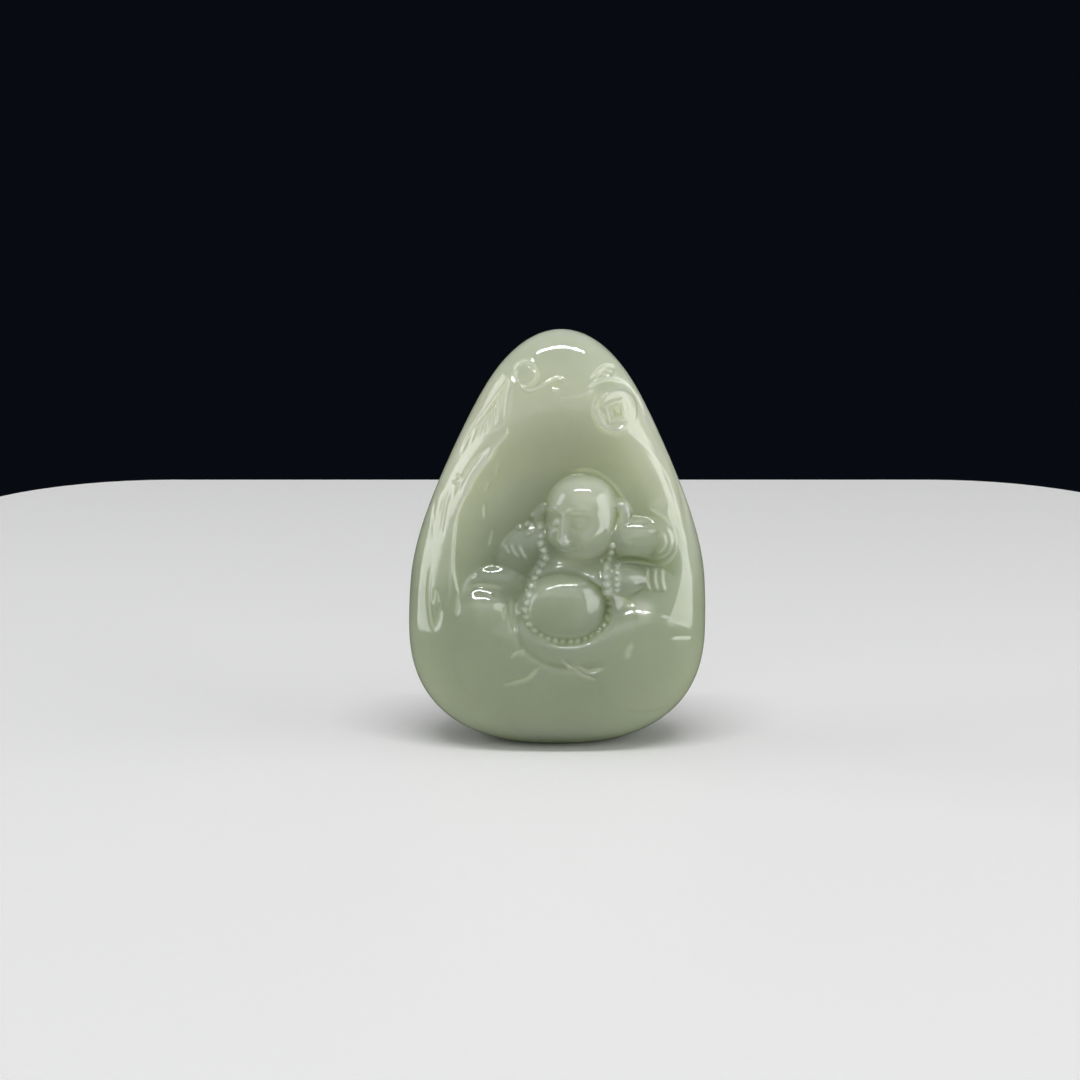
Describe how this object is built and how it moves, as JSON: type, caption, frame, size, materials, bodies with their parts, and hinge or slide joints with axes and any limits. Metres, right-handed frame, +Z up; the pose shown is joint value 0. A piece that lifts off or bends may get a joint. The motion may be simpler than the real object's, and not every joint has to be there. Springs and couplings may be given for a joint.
{
  "type": "jade pebble carving",
  "caption": "Egg-shaped carved stone standing on its blunt end, hollowed at the front into a niche that holds a seated monk in high relief.",
  "frame": {"origin": "middle of the facet that the stone rests on, under the middle of its outline", "axes": "+Z up, -Y out of the carved face, +X towards the monk's left hand, which is at the viewer's right"},
  "size_m": [0.033, 0.0167, 0.046],
  "materials": {
    "jade": "polished"
  },
  "bodies": {
    "root": {"stone_body": "jade", "head": "jade", "ear_right": "jade", "ear_left": "jade", "chest": "jade", "belly": "jade", "arm_right": "jade", "hand_right": "jade", "knee_right": "jade", "arm_left": "jade", "hand_left": "jade", "sleeve_left": "jade", "knee_left": "jade", "foot_left": "jade", "robe_hem": "jade", "prayer_beads": "jade", "hand_beads": "jade", "coin": "jade", "coin_ribbon": "jade", "cloud_scroll": "jade", "cloud_curl": "jade", "rim_band_right": "jade", "rim_band_left": "jade"}
  },
  "joints": []
}
